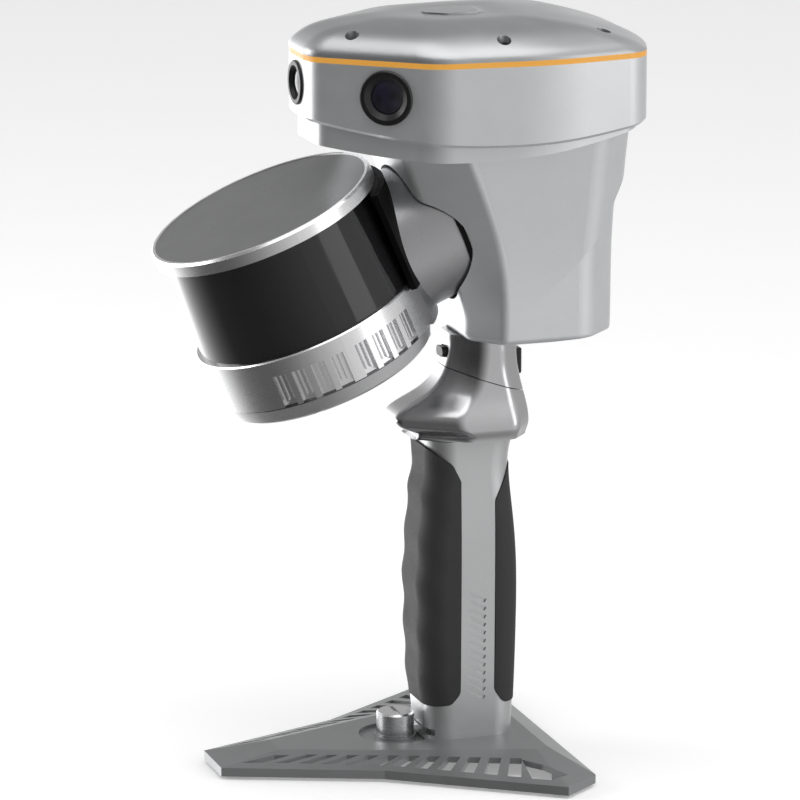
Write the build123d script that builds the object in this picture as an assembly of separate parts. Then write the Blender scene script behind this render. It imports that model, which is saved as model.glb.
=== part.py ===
"""Handheld laser scanner on a three-toed stand plate.

The frame is in millimetres with +Z up. The origin lies on the pole axis, on the plane that the foot pads
stand on. -Y is the front, where the tilted lidar looks, and +X is the scanner's own left.
"""

from build123d import *
import math
import os

# Driving dimensions -------------------------------------------------------------------------------------

# Stand plate
PAD_HEIGHT = 1.5  # rubber foot pads below the plate
RIM_TOP = 5.5  # top of the plate's outer rim
PLATEAU_TOP = 9.5  # flat centre of the plate
PLATE_WALL = 2.6
PLATE_OUTER = [(13.5, -115.5), (40.0, -48.0), (88.0, 21.0), (74.5, 38.5)]
PLATE_INNER = [(7.5, -87.0), (24.0, -41.0), (43.0, 22.0), (40.5, 28.0)]
SLOT_COUNT = 11
RECESS_R = 16.5  # round recess in the plate about the lock knob
RECESS_DEPTH = 1.4
SLOT_HALF = 0.021  # half a slot's width, as a share of the flank's length
SLOT_LEAN = 0.045  # how far a slot's inner end leads its outer end, as a share of the flank
SOCKET_R = 14.6  # hole in the plate that takes the handle's spigot
SPIGOT_R = 14.5
SPIGOT_BOTTOM = 2.0

# Lock knob in front of the handle
KNOB_Y = -30.0
KNOB_R = 8.5
KNOB_TOP = 20.0
KNOB_SHAFT_R = 3.0
KNOB_SHAFT_CLEARANCE = 0.05
CAM_REACH = 14.0  # from the knob's axis to the cam's tip
CAM_LOW = 11.2
CAM_HIGH = 13.4
CAM_HALF_WIDTH = 4.0

# Pole thread, 5/8 inch: a plain wall at the tapping radius
POLE_THREAD_R = 6.75
POLE_INSERT_R = 9.5
POLE_INSERT_TOP = 16.0

# Handle: each level is (z, front reach, rear reach, half width)
HANDLE_LEVELS = [
    (PLATEAU_TOP, 19.6, 21.8, 18.0),
    (22.0, 19.8, 22.2, 18.2),
    (50.0, 21.6, 23.0, 18.8),
    (85.0, 22.2, 23.2, 19.2),
    (115.0, 20.2, 21.0, 18.8),
    (134.0, 18.4, 19.6, 18.4),
    (147.0, 19.4, 21.6, 19.6),
]
HANDLE_CORNER = 11.0
STRIP_FRONT = -5.4  # the bare metal strip on each side of the handle
STRIP_REAR = 10.8
GRIP_WALL = 2.4
GRIP_PROUD = 0.5
GRIP_BOTTOM = 25.0
FINGER_PITCH = 21.5
FINGER_LIFT = 0.9
FINGER_FIRST = 48.0
FRAME_WALL = 2.2

# Cells in the handle
CELL_R = 7.0
CELL_LENGTH = 50.0
CELL_BOTTOM = 19.0
CELL_Y = 7.3

# Collar with its hand guard, and the neck above it
COLLAR_BOTTOM = 147.0
COLLAR_FLOOR = 2.6
NECK_TOP = 193.0
NECK_CEILING = 2.6
NECK_WALL = 2.4
SEAM_GAP = 0.4
SEAM_Y = 8.0
SEAM_Z = 172.6
SEAM_SLOPE = -19.0
# Each level is (z, front reach, rear reach, half width)
NECK_LEVELS = [
    (COLLAR_BOTTOM, 24.6, 27.2, 22.6),
    (152.0, 29.0, 28.4, 24.0),
    (157.0, 32.6, 28.4, 23.2),
    (162.0, 26.6, 27.8, 20.8),
    (167.0, 17.6, 26.8, 18.9),
    (172.0, 12.1, 25.7, 18.0),
    (177.0, 9.3, 24.8, 17.4),
    (182.0, 7.8, 24.3, 17.2),
    (187.0, 7.0, 24.1, 17.2),
    (NECK_TOP, 6.5, 24.0, 17.4),
]

# Body casing
BODY_BOTTOM = 193.0
BODY_TOP = 292.0
BODY_WALL = 2.8
BOARD_Y = 38.0  # front face of the upright main board
ANTENNA_BOARD_Z = 300.0

# Head
HEAD_OUTLINE = [(15.6, -75.0), (52.0, -28.0), (57.0, 24.0), (50.5, 68.5), (24.0, 77.5)]
HEAD_RADII = [14.0, 28.0, 120.0, 14.0, 60.0]
HEAD_TOP = 320.3
HEAD_WALL = 3.0
HEAD_BEVEL = 1.3
# The head's underside is in two steps, each part of a cylinder along X
EDGE_R = 345.0  # lower edge of the outer wall
EDGE_Y = 4.7
EDGE_LOW = 285.0
BELLY_R = 320.0  # underside proper, set in from the outer wall
BELLY_Y = -14.0
BELLY_LOW = 278.5
BELLY_INSET = 4.0
ACCENT_HEIGHT = 2.4
ACCENT_WALL = 2.6
DOME_BASE = HEAD_TOP + ACCENT_HEIGHT
DOME_WALL = 2.4
# Each level is (z, size as a share of the head's outline, shift towards the rear)
DOME_LEVELS = [
    (DOME_BASE, 1.0, 0.0),
    (324.4, 0.99, -1.0),
    (327.5, 0.935, -3.0),
    (331.0, 0.83, -5.6),
    (333.8, 0.69, -6.6),
    (335.6, 0.52, -6.4),
    (336.5, 0.34, -5.8),
    (336.9, 0.16, -5.4),
]
# Each dome screw is (x, y, height of its seat)
SCREW_PLACES = [(20.0, -56.0, 326.5), (46.6, 4.0, 327.5), (37.5, 53.0, 326.5)]
SCREW_R = 1.5
SCREW_HEAD_R = 2.7
SCREW_HEAD = 1.8

# Cameras. The side ones sit on the head's slanted flanks, a share of the way along from the front.
SIDE_SHARE = 0.61
(NOSE_X, NOSE_Y), (CHEEK_X, CHEEK_Y) = HEAD_OUTLINE[:2]
SIDE_X = NOSE_X + (CHEEK_X - NOSE_X) * SIDE_SHARE
SIDE_Y = NOSE_Y + (CHEEK_Y - NOSE_Y) * SIDE_SHARE
SIDE_TURN = math.degrees(math.atan2(CHEEK_Y - NOSE_Y, CHEEK_X - NOSE_X))
# Each camera is (name, x, y, z, turn from the front in degrees, bezel radius, glass radius)
CAMERAS = [
    ("front_camera", 0.0, NOSE_Y, 308.8, 0.0, 9.8, 6.6),
    ("left_camera", SIDE_X, SIDE_Y, 306.8, SIDE_TURN, 12.0, 7.4),
    ("right_camera", -SIDE_X, SIDE_Y, 306.8, -SIDE_TURN, 12.0, 7.4),
]
BEZEL_PROUD = 1.2
CAMERA_DEPTH = 16.0
CAMERA_BOARD = (20.0, 15.0, 1.6)

# Lidar: a cylinder whose top leans forward
LIDAR_TILT = 23.0
LIDAR_TOP_Y = -92.0
LIDAR_TOP_Z = 254.5
LIDAR_R = 51.5
LIDAR_HEIGHT = 82.0
CAP_DEPTH = 6.0
WINDOW_END = 51.2
WINDOW_TOP_R = 46.2  # the window widens towards its foot
WINDOW_FOOT_R = 49.2
WINDOW_WALL = 2.2
BASE_END = 73.6
SEAM_DEPTH = 1.0  # dark joint between the base ring and the bottom dish
DISH_R = 50.0
FIN_GROUPS = [54.6, 98.0]  # where each group of four pockets starts, in degrees from the front
FIN_PITCH = 10.0
FIN_TOP = 58.5
POCKET_WIDTH = 6.2
POCKET_DEPTH = 2.8
RIB_WIDTH = 0.9  # two low ribs stand in each pocket
RIB_SPREAD = 1.15
ROTOR_R = 41.0
ROTOR_TOP = 10.0
ROTOR_BOTTOM = 48.0
DECK = 2.6  # the floor under the rotor
BOSS_R = 11.0
BEARING_R = 8.0
STATOR_R = 20.0
MAGNET_IN = 21.0
MAGNET_OUT = 24.0
SHAFT_R = 5.0
SHAFT_CLEARANCE = 0.05

# Bracket between the lidar and the body
DRUM_R = 32.0
DRUM_DEPTH = 43.0  # where the drum's axis meets the lidar's, below the lidar's top
DRUM_FACE = 73.0  # from the lidar's axis to the body's seat
SOCKET_GAP = 1.3
SHIELD_IN = 52.2
SHIELD_OUT = 55.0
SHIELD_TOP = 8.0
CRADLE_TOP = 54.6
CRADLE_BOTTOM = 73.0
SHIELD_HALF_ANGLE = 39.0
CRADLE_HALF_ANGLE = 36.0
BRACKET_SCREW_CIRCLE = 22.0

# Controls on the neck
BUTTON_Z = 184.2
BUTTON_Y = -7.8
BUTTON_SIZE = (8.6, 4.6)
BUTTON_GAP = 0.35
BUTTON_TRAVEL = 0.8
FLAP_HALF_WIDTH = 7.0
FLAP_PIN_Y = 23.4
FLAP_PIN_Z = 173.0
FLAP_PIN_R = 0.8
FLAP_HIGH = 184.6
FLAP_FACE_Y = 27.0

OUT = "parts"
os.makedirs(OUT, exist_ok=True)


# Shared shapes ------------------------------------------------------------------------------------------


def mirrored_face(half, radii, z):
    """A face at height z, symmetric about x = 0, from the corners of its +X half, front to rear."""
    corners = half + [(-x, y) for x, y in reversed(half)]
    rounding = list(radii) + list(reversed(radii))
    wire = FilletPolyline(*corners, radius=rounding, close=True)
    return Pos(0, 0, z) * make_face(wire)


def shrunk(half, by):
    """The same corners moved inwards by about that distance, for the inside of a wall."""
    centre_y = (half[0][1] + half[-1][1]) / 2
    reach = max(abs(y - centre_y) for _, y in half)
    width = max(x for x, _ in half)
    return [(x * (1 - by / width), centre_y + (y - centre_y) * (1 - by / reach)) for x, y in half]


def rounded_block(x0, x1, y0, y1, z0, z1, radius=0.0):
    """A box between two corners, its vertical edges rounded if a radius is given."""
    block = Pos((x0 + x1) / 2, (y0 + y1) / 2, (z0 + z1) / 2) * Box(x1 - x0, y1 - y0, z1 - z0)
    if radius:
        block = fillet(block.edges().filter_by(Axis.Z), radius)
    return block


def rod(radius, z0, z1, x=0.0, y=0.0):
    """An upright cylinder."""
    return Pos(x, y, (z0 + z1) / 2) * Cylinder(radius, z1 - z0)


def ring(outer, inner, z0, z1, x=0.0, y=0.0):
    """An upright tube."""
    return rod(outer, z0, z1, x, y) - rod(inner, z0 - 1, z1 + 1, x, y)


def both_sides(shape):
    """A shape and its mirror image across x = 0."""
    return [shape, mirror(shape, about=Plane.YZ)]


def write(name, *shapes):
    """One STEP file of separate solids."""
    solids = [solid for shape in shapes for solid in shape.solids()]
    whole = solids[0] if len(solids) == 1 else Compound(children=solids)
    export_step(whole, f"{OUT}/{name}.step")


# Stand plate --------------------------------------------------------------------------------------------


def mirrored_polygon(half, z):
    """A face with sharp corners, symmetric about x = 0."""
    corners = half + [(-x, y) for x, y in reversed(half)]
    return Pos(0, 0, z) * make_face(Polyline(*corners, close=True))


def plate_body(inset, drop):
    """The hipped plate as a solid, moved inwards and down by a wall's thickness for its hollow."""
    outer = shrunk(PLATE_OUTER, inset)
    inner = shrunk(PLATE_INNER, inset * 0.6)
    rim = extrude(mirrored_polygon(outer, PAD_HEIGHT), RIM_TOP - drop - PAD_HEIGHT)
    foot = mirrored_polygon(outer, RIM_TOP - drop)
    top = mirrored_polygon(inner, PLATEAU_TOP - drop)
    return rim + loft([foot, top], ruled=True)


def along(points, share):
    """The point at a share of a two-span line's length."""
    (ax, ay), (bx, by), (cx, cy) = points
    first = math.hypot(bx - ax, by - ay)
    second = math.hypot(cx - bx, cy - by)
    run = share * (first + second)
    if run <= first:
        part = run / first
        return ax + (bx - ax) * part, ay + (by - ay) * part
    part = (run - first) / second
    return bx + (cx - bx) * part, by + (cy - by) * part


def flank_point(share, across):
    """A point on the left flank: share runs front to rear, across runs from the plateau to the rim."""
    ix, iy = along(PLATE_INNER[:3], share)
    ox, oy = along(PLATE_OUTER[:3], share)
    return ix + (ox - ix) * across, iy + (oy - iy) * across


def flank_slots():
    """Leaning slots through the left flank, longer towards the rear, and a broad one near the toe."""
    cuts = []
    for n in range(SLOT_COUNT):
        share = 0.14 + 0.072 * n
        outer_end = 0.70 + 0.12 * n / (SLOT_COUNT - 1)
        lean = SLOT_LEAN * outer_end
        corners = [
            flank_point(share + lean - SLOT_HALF, 0.26),
            flank_point(share + lean + SLOT_HALF, 0.26),
            flank_point(share + SLOT_HALF - lean * 0.2, outer_end),
            flank_point(share - SLOT_HALF - lean * 0.2, outer_end),
        ]
        cuts.append(extrude(make_face(Polyline(*corners, close=True)), PLATEAU_TOP + 2))
    toe = [flank_point(0.045, 0.30), flank_point(0.10, 0.30), flank_point(0.078, 0.72), flank_point(0.012, 0.72)]
    cuts.append(extrude(make_face(Polyline(*toe, close=True)), PLATEAU_TOP + 2))
    return cuts


def toe_window():
    """The large opening beside each rear toe."""
    corners = [
        flank_point(0.915, 0.30),
        flank_point(0.975, 0.42),
        (74.0, 26.0),
        flank_point(0.965, 0.84),
        flank_point(0.905, 0.84),
    ]
    return extrude(make_face(Polyline(*corners, close=True)), PLATEAU_TOP + 2)


def pad_places():
    """Centres of the three foot pads."""
    return [(0.0, -103.5), (71.5, 24.5), (-71.5, 24.5)]


def stand_plate():
    plate = plate_body(0, 0) - plate_body(PLATE_WALL, PLATE_WALL)
    plate += rod(SOCKET_R + 5.0, PAD_HEIGHT, PLATEAU_TOP - 0.5)
    plate += rod(KNOB_SHAFT_R + 4.0, 4.4, PLATEAU_TOP - 0.5, y=KNOB_Y)
    plate += rod(RECESS_R + 2.0, PLATEAU_TOP - 4.0, PLATEAU_TOP - 0.5, y=KNOB_Y)
    for x, y in pad_places():
        plate += rod(7.0, PAD_HEIGHT, RIM_TOP - 1.0, x, y)
    for cut in flank_slots() + [toe_window()]:
        for side in both_sides(cut):
            plate -= side
    recess = rod(RECESS_R, PLATEAU_TOP - RECESS_DEPTH, PLATEAU_TOP + 2, y=KNOB_Y)
    boss = rod(KNOB_R + 1.0, 0, PLATEAU_TOP, y=KNOB_Y)
    plate -= (recess - boss) & rounded_block(-40, 40, -70, -HANDLE_LEVELS[0][1] - 0.4, 0, 30)
    plate -= rod(SOCKET_R, 0, PLATEAU_TOP + 1)
    plate -= rod(KNOB_SHAFT_R + KNOB_SHAFT_CLEARANCE, 0, PLATEAU_TOP + 1, y=KNOB_Y)
    return plate


def foot_pads():
    return [rod(6.0, 0, PAD_HEIGHT, x, y) for x, y in pad_places()]


def lock_knob():
    """A coin-slotted knob whose cam reaches into the handle's foot."""
    knob = rod(KNOB_R, PLATEAU_TOP + 0.2, KNOB_TOP, y=KNOB_Y)
    knob = chamfer(knob.edges().filter_by(GeomType.CIRCLE).sort_by(Axis.Z)[-1], 0.8)
    cam = rounded_block(-CAM_HALF_WIDTH, CAM_HALF_WIDTH, KNOB_Y, KNOB_Y + CAM_REACH, CAM_LOW, CAM_HIGH)
    cam &= rod(CAM_REACH, 0, 30, y=KNOB_Y)
    slot = rounded_block(-6.5, 6.5, KNOB_Y - 0.9, KNOB_Y + 0.9, KNOB_TOP - 1.4, KNOB_TOP + 1)
    shaft = rod(KNOB_SHAFT_R, 2.4, PLATEAU_TOP + 1, y=KNOB_Y)
    groove = ring(KNOB_SHAFT_R + 1, KNOB_SHAFT_R - 0.6, 3.3, 4.1, y=KNOB_Y)
    return knob + cam + shaft - slot - groove


def knob_circlip():
    clip = ring(5.2, KNOB_SHAFT_R - 0.6, 3.3, 4.1, y=KNOB_Y)
    return clip - rounded_block(-1.6, 1.6, KNOB_Y, KNOB_Y + 7, 3, 5)


# Handle -------------------------------------------------------------------------------------------------


def handle_level(z):
    """The handle's reaches at a height, between the driving levels."""
    for low, high in zip(HANDLE_LEVELS, HANDLE_LEVELS[1:]):
        if z <= high[0]:
            share = (z - low[0]) / (high[0] - low[0])
            return tuple(a + (b - a) * share for a, b in zip(low, high))
    return HANDLE_LEVELS[-1]


def handle_section(level, inset):
    """One cross-section of the handle, or of its inside."""
    z, front, rear, width = level
    half = [(width - inset, -front + inset), (width - inset, rear - inset)]
    corner = max(HANDLE_CORNER - inset, 3.0)
    return mirrored_face(half, [corner, corner], z)


def handle_loft(inset, low=None, high=None):
    """The handle's outside, or the same shape moved inwards."""
    levels = list(HANDLE_LEVELS)
    if low is not None:
        levels[0] = (low, *levels[0][1:])
    if high is not None:
        levels[-1] = (high, *levels[-1][1:])
    return loft([handle_section(level, inset) for level in levels])


def finger_lift(z):
    """How far the grip's front swells at a height: nothing under each finger, most between two."""
    start = FINGER_FIRST - FINGER_PITCH
    end = FINGER_FIRST + 3.5 * FINGER_PITCH
    if z < start or z > end:
        return 0.0
    return FINGER_LIFT * (1 - math.cos(2 * math.pi * (z - FINGER_FIRST) / FINGER_PITCH)) / 2


def fingered_loft():
    """The handle's outside with the finger swells on its front."""
    sections = []
    z = HANDLE_LEVELS[0][0]
    while z < COLLAR_BOTTOM:
        _, front, rear, width = handle_level(z)
        level = (z, front + GRIP_PROUD + finger_lift(z), rear + GRIP_PROUD, width + GRIP_PROUD)
        sections.append(handle_section(level, 0))
        z += FINGER_PITCH / 4
    sections.append(handle_section(HANDLE_LEVELS[-1], -GRIP_PROUD))
    return loft(sections)


def grip_region(front, grow):
    """The side view of one grip, as a block across the handle. grow widens it for the joint line."""
    if front:
        edge = STRIP_FRONT + grow
        low = GRIP_BOTTOM - grow
        corners = [
            (-40, 157.5),
            (-24.5, 146.8 + grow),
            (-9.0, 136.0 + grow),
            (edge, 128.5),
            (edge, GRIP_BOTTOM + 5.5),
            (-9.5, low + 0.8),
            (-17.0, low),
            (-40, low),
        ]
        radii = [0.01, 4.0, 6.0, 3.0, 5.0, 4.0, 4.0, 0.01]
    else:
        edge = STRIP_REAR - grow
        low = GRIP_BOTTOM - 0.4 - grow
        corners = [
            (40, 143.0),
            (19.0, 133.5 + grow),
            (edge, 119.0),
            (edge, GRIP_BOTTOM + 6.0),
            (15.0, low),
            (40, low),
        ]
        radii = [0.01, 2.0, 5.0, 5.0, 5.0, 0.01]
    outline = FilletPolyline(*corners, radius=radii, close=True)
    return extrude(Plane.YZ * make_face(outline), 40, both=True)


def front_grip():
    return (fingered_loft() & grip_region(True, 0)) - handle_loft(GRIP_WALL)


def rear_grip():
    return (handle_loft(-GRIP_PROUD) & grip_region(False, 0)) - handle_loft(GRIP_WALL)


def vent_grooves():
    """Shallow leaning grooves in the lower part of the left side strip."""
    cuts = []
    middle = (STRIP_FRONT + STRIP_REAR) / 2
    for n in range(13):
        z = 30.0 + 3.75 * n
        half = handle_level(z)[3]
        cuts.append(Pos(half, middle - 0.4, z) * Rot(-28, 0, 0) * Box(1.8, 8.8, 1.7))
    return cuts


def handle_frame():
    """The metal frame: bare on both sides, cut back where the grips lie, and hollow for the cells."""
    skin = handle_loft(0)
    frame = handle_loft(GRIP_WALL) + (skin - grip_region(True, 0.25) - grip_region(False, 0.25))
    frame += rod(SPIGOT_R, SPIGOT_BOTTOM, PLATEAU_TOP + 1)
    frame -= handle_loft(GRIP_WALL + FRAME_WALL, low=CELL_BOTTOM, high=COLLAR_BOTTOM + 1)
    frame -= rod(POLE_INSERT_R, 0, POLE_INSERT_TOP)
    pocket_end = KNOB_Y + CAM_REACH + 0.6
    frame -= rounded_block(-CAM_REACH - 1, CAM_REACH + 1, -40, pocket_end, CAM_LOW - 0.4, CAM_HIGH + 0.4)
    frame -= rod(KNOB_R + 0.7, PLATEAU_TOP - 0.1, KNOB_TOP + 0.8, y=KNOB_Y)
    for cut in vent_grooves():
        for side in both_sides(cut):
            frame -= side
    return frame


def pole_insert():
    """The steel pole thread, its mouth level with the foot pads."""
    return ring(POLE_INSERT_R, POLE_THREAD_R, 0, POLE_INSERT_TOP)


def battery_cells():
    shapes = []
    for level in (0, 1):
        z = CELL_BOTTOM + level * (CELL_LENGTH + 1.0)
        for y in (-CELL_Y, CELL_Y):
            shapes.append(rod(CELL_R, z, z + CELL_LENGTH, y=y) + rod(3.0, z + CELL_LENGTH, z + CELL_LENGTH + 1, y=y))
    return shapes


def battery_board():
    z = CELL_BOTTOM + 2 * (CELL_LENGTH + 1.0)
    return rounded_block(-11, 11, -13.0, 13.6, z, z + 1.6, 4.0)


# Collar and neck ----------------------------------------------------------------------------------------


def neck_section(level, inset):
    """A blunt egg: a narrow nose in front and a broad rear."""
    z, front, rear, width = level
    nose = -front + inset
    back = rear - inset
    side = width - inset
    half = [
        (side * 0.42, nose),
        (side, nose + (back - nose) * 0.42),
        (side, back - 9.0),
        (side * 0.55, back),
    ]
    return mirrored_face(half, [4.5, 8.0, 6.0, 6.0], z)


def neck_solid(inset):
    return loft([neck_section(level, inset) for level in NECK_LEVELS])


def seam_half(above):
    """The half of space above or below the slanted joint between collar and neck."""
    side = Align.MIN if above else Align.MAX
    slab = Box(140, 200, 90, align=(Align.CENTER, Align.CENTER, side))
    lift = SEAM_GAP / 2 if above else -SEAM_GAP / 2
    return Pos(0, SEAM_Y, SEAM_Z) * Rot(SEAM_SLOPE, 0, 0) * Pos(0, 0, lift) * slab


def neck_hollow():
    """The inside of collar and neck, with a floor and a ceiling left solid."""
    floor = COLLAR_BOTTOM + COLLAR_FLOOR
    return neck_solid(NECK_WALL) & rounded_block(-60, 60, -60, 60, floor, NECK_TOP - NECK_CEILING)


def hand_guard():
    guard = (neck_solid(0) - neck_hollow()) & seam_half(False)
    return guard - rounded_block(-9, 9, -12, 14, COLLAR_BOTTOM - 1, COLLAR_BOTTOM + 5, 4.0)


def oval(width, height, depth, y):
    """A flat-sided oval bar along +Y that starts at y."""
    face = SlotOverall(width, height)
    return Pos(0, y, BUTTON_Z) * Rot(-90, 0, 0) * extrude(face, depth)


def flap_pocket():
    """The hollow behind the port cover, deep enough for its turning edge."""
    half = FLAP_HALF_WIDTH + 0.3
    return rounded_block(-half, half, FLAP_PIN_Y - 1.6, 40, FLAP_PIN_Z - 4.2, FLAP_HIGH + 0.3)


def flap_pin(radius):
    pin = Rot(0, 90, 0) * Cylinder(radius, 2 * FLAP_HALF_WIDTH + 3.0)
    return Pos(0, FLAP_PIN_Y, FLAP_PIN_Z) * pin


def socket_space():
    """The room for the charging and data socket."""
    return rounded_block(-4.6, 4.6, 15.5, 22.3, 178.0, 181.4)


def neck_screw_places():
    return [(-12.0, 9.0), (12.0, 9.0), (-10.5, 17.0), (10.5, 17.0)]


def neck_shell():
    block = rounded_block(-11, 11, 14.1, 40, FLAP_PIN_Z - 6.5, FLAP_HIGH + 3.0) & neck_solid(0)
    neck = (neck_solid(0) - neck_hollow() + block) & seam_half(True)
    neck -= flap_pocket()
    neck -= flap_pin(FLAP_PIN_R + 0.05)
    neck -= socket_space()
    neck -= oval(BUTTON_SIZE[0] + 2 * BUTTON_GAP, BUTTON_SIZE[1] + 2 * BUTTON_GAP, 12, BUTTON_Y - 6)
    neck -= oval(BUTTON_SIZE[0] + 3.2, BUTTON_SIZE[1] + 2.8, 5.0, BUTTON_Y + 2.6)
    neck -= rod(8.0, NECK_TOP - 8, NECK_TOP + 1, y=10.0)
    for x, y in neck_screw_places():
        neck -= rod(SCREW_R, NECK_TOP - 8, NECK_TOP + 1, x, y)
    return neck


def power_button():
    cap = oval(*BUTTON_SIZE, 5.0, BUTTON_Y - 1.6)
    flange = oval(BUTTON_SIZE[0] + 2.4, BUTTON_SIZE[1] + 2.0, 1.0, BUTTON_Y + 2.8)
    stem = Pos(0, BUTTON_Y + 4.6, BUTTON_Z) * Rot(-90, 0, 0) * Cylinder(1.2, 1.6)
    return cap + flange + stem


def power_switch():
    """A small switch on its board, across the inside of the neck."""
    face = BUTTON_Y + 5.4 + BUTTON_TRAVEL
    body = rounded_block(-3, 3, face, face + 3.5, BUTTON_Z - 3, BUTTON_Z + 3)
    board = rounded_block(-9, 9, face + 3.5, face + 4.7, BUTTON_Z - 8, NECK_TOP - NECK_CEILING)
    return [body + board]


def port_cover():
    plate = rounded_block(
        -FLAP_HALF_WIDTH, FLAP_HALF_WIDTH, FLAP_PIN_Y + 1.0, FLAP_FACE_Y, FLAP_PIN_Z, FLAP_HIGH
    )
    plate = chamfer(plate.edges().group_by(Axis.Y)[-1], 0.6)
    barrel = Pos(0, FLAP_PIN_Y, FLAP_PIN_Z) * Rot(0, 90, 0) * Cylinder(1.3, 2 * FLAP_HALF_WIDTH)
    return plate + barrel + flap_pin(FLAP_PIN_R)


def usb_socket():
    shell = socket_space()
    shell -= rounded_block(-4.1, 4.1, 16.7, 30, 178.5, 180.9)
    return shell + rounded_block(-3.2, 3.2, 16.3, 21.5, 179.4, 180.0)


def neck_screws():
    shapes = []
    for x, y in neck_screw_places():
        shank = rod(SCREW_R, NECK_TOP - 6.0, BODY_BOTTOM + BODY_WALL, x, y)
        head = rod(SCREW_HEAD_R, BODY_BOTTOM + BODY_WALL, BODY_BOTTOM + BODY_WALL + SCREW_HEAD, x, y)
        shapes.append(shank + head)
    return shapes


# Lidar and its bracket ----------------------------------------------------------------------------------


def tilted(shape):
    """Places a shape made about +Z, with its top at z = 0, on the lidar's leaning axis."""
    return Pos(0, LIDAR_TOP_Y, LIDAR_TOP_Z) * Rot(LIDAR_TILT, 0, 0) * shape


def on_drum_axis(shape):
    """Places a shape made about +Z on the drum's axis: z = 0 is the lidar's axis, +z the body."""
    return tilted(Pos(0, 0, -DRUM_DEPTH) * Rot(-90, 0, 0) * shape)


def wedge(half_angle, reach, z0, z1):
    """A pie slice about the rear, +Y, of the lidar's own frame."""
    a = math.radians(half_angle)
    steps = [a * (2 * n / 8 - 1) for n in range(9)]
    corners = [(0, 0)] + [(reach * 1.3 * math.sin(t), reach * 1.3 * math.cos(t)) for t in steps]
    return Pos(0, 0, z0) * extrude(make_face(Polyline(*corners, close=True)), z1 - z0)


def lidar_cap():
    cap = rod(LIDAR_R, -CAP_DEPTH, 0) - rod(WINDOW_TOP_R - WINDOW_WALL, -CAP_DEPTH - 1, -3.0)
    cap = chamfer(cap.edges().filter_by(GeomType.CIRCLE).sort_by(Axis.Z)[-1], 1.0)
    return tilted(cap - rod(49.2, -1.2, 1))


def lidar_top_plate():
    return tilted(rod(49.2, -1.2, -0.2))


def lidar_window():
    """A slightly conical tube."""
    place = Pos(0, 0, -(WINDOW_END + CAP_DEPTH) / 2)
    height = WINDOW_END - CAP_DEPTH
    outside = Cone(WINDOW_FOOT_R, WINDOW_TOP_R, height)
    inside = Cone(WINDOW_FOOT_R - WINDOW_WALL, WINDOW_TOP_R - WINDOW_WALL, height)
    return tilted(place * (outside - inside))


def fin_angles():
    """Turns from the front of every pocket in the left side of the lidar's base ring."""
    return [start + n * FIN_PITCH for start in FIN_GROUPS for n in range(4)]


def fin_pocket():
    """One pocket, open at the bottom, with two low ribs left standing in it."""
    half = POCKET_WIDTH / 2
    pocket = rounded_block(-half, half, -LIDAR_R - 2, -LIDAR_R + POCKET_DEPTH, -BASE_END - 1, -FIN_TOP)
    for x in (-RIB_SPREAD, RIB_SPREAD):
        rib = rounded_block(
            x - RIB_WIDTH / 2, x + RIB_WIDTH / 2, -LIDAR_R + 0.9, -LIDAR_R + 5, -BASE_END + 2.2, -FIN_TOP + 1
        )
        pocket -= rib
    return pocket


def lidar_base():
    base = rod(LIDAR_R, -BASE_END, -WINDOW_END)
    base = chamfer(base.edges().filter_by(GeomType.CIRCLE).sort_by(Axis.Z)[-1], 0.6)
    base -= rod(LIDAR_R - 5.0, -BASE_END - 1, -WINDOW_END - DECK)
    base += rod(BOSS_R, -68.0, -35.0)
    for turn in (45, 135, 225, 315):
        post = rod(2.5, -57.0, -WINDOW_END - DECK + 0.5, 0, -40.0)
        lug = rod(3.0, -BASE_END, -WINDOW_END - DECK + 0.5, 0, -43.6)
        base += Rot(0, 0, turn) * post
        base += Rot(0, 0, turn + 20) * lug
    base -= rod(BEARING_R, -69, -34)
    for angle in fin_angles():
        for turn in (angle, -angle):
            base -= Rot(0, 0, turn) * fin_pocket()
    for screw in lidar_screw_shapes(0.0):
        base -= screw
    for screw in bracket_screw_local():
        base -= screw
    return tilted(base)


def lidar_screw_shapes(extra):
    shapes = []
    for turn in (65, 155, 245, 335):
        shank = rod(SCREW_R + extra, -LIDAR_HEIGHT + 1.6, -BASE_END + 7, 0, -43.6)
        head = rod(SCREW_HEAD_R + extra, -LIDAR_HEIGHT + 0.2, -LIDAR_HEIGHT + 1.6, 0, -43.6)
        shapes.append(Rot(0, 0, turn) * (shank + head))
    return shapes


def lidar_bottom():
    low = BASE_END + SEAM_DEPTH
    plate = Pos(0, 0, -(low + LIDAR_HEIGHT) / 2) * Cone(DISH_R - 2.6, DISH_R, LIDAR_HEIGHT - low)
    plate = chamfer(plate.edges().filter_by(GeomType.CIRCLE).sort_by(Axis.Z)[0], 1.2)
    plate += rod(DISH_R - 3.6, -low - 0.5, -BASE_END)
    plate -= rod(DISH_R - 9.0, -LIDAR_HEIGHT + 4.0, 0)
    for turn in (65, 155, 245, 335):
        plate += Rot(0, 0, turn) * (rod(4.6, -LIDAR_HEIGHT + 1, -BASE_END, 0, -43.6) & rod(48, -90, 0))
    for turn in (65, 155, 245, 335):
        plate -= Rot(0, 0, turn) * rod(SCREW_HEAD_R + 0.4, -LIDAR_HEIGHT - 1, -LIDAR_HEIGHT + 1.6, 0, -43.6)
        plate -= Rot(0, 0, turn) * rod(SCREW_R, -LIDAR_HEIGHT - 1, -BASE_END + 1, 0, -43.6)
    return tilted(plate)


def lidar_screws():
    return [tilted(shape) for shape in lidar_screw_shapes(0.0)]


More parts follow.
